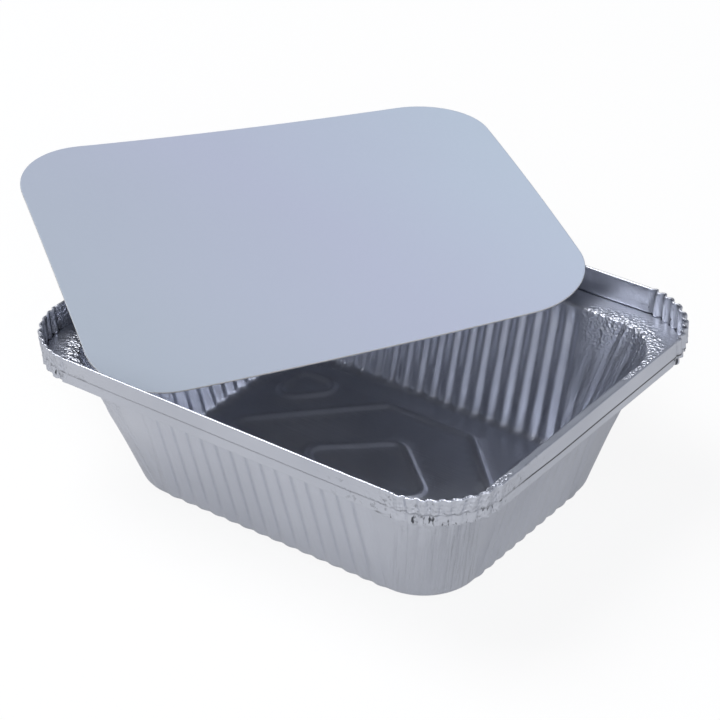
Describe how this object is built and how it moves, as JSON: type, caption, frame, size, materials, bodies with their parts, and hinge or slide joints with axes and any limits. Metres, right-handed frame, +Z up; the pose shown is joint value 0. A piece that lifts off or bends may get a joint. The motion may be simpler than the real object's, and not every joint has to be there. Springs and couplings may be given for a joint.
{
  "type": "foil food container",
  "caption": "Pressed foil takeaway tray with fluted walls, stamped floor and folded rim, and a separate flat board lid lying askew on it.",
  "frame": {"origin": "middle of the tray's underside, on the surface it stands on", "axes": "+X along the tray's long side, +Y across it towards the side away from the camera, +Z up"},
  "size_m": [0.1976, 0.1723, 0.0585],
  "materials": {
    "foil": "bright rolled foil, creased, with fine draw lines",
    "lid_board": "satin silver-grey coated face"
  },
  "bodies": {
    "root": {"foil_tray": "foil", "board_lid": "lid_board"}
  },
  "joints": []
}
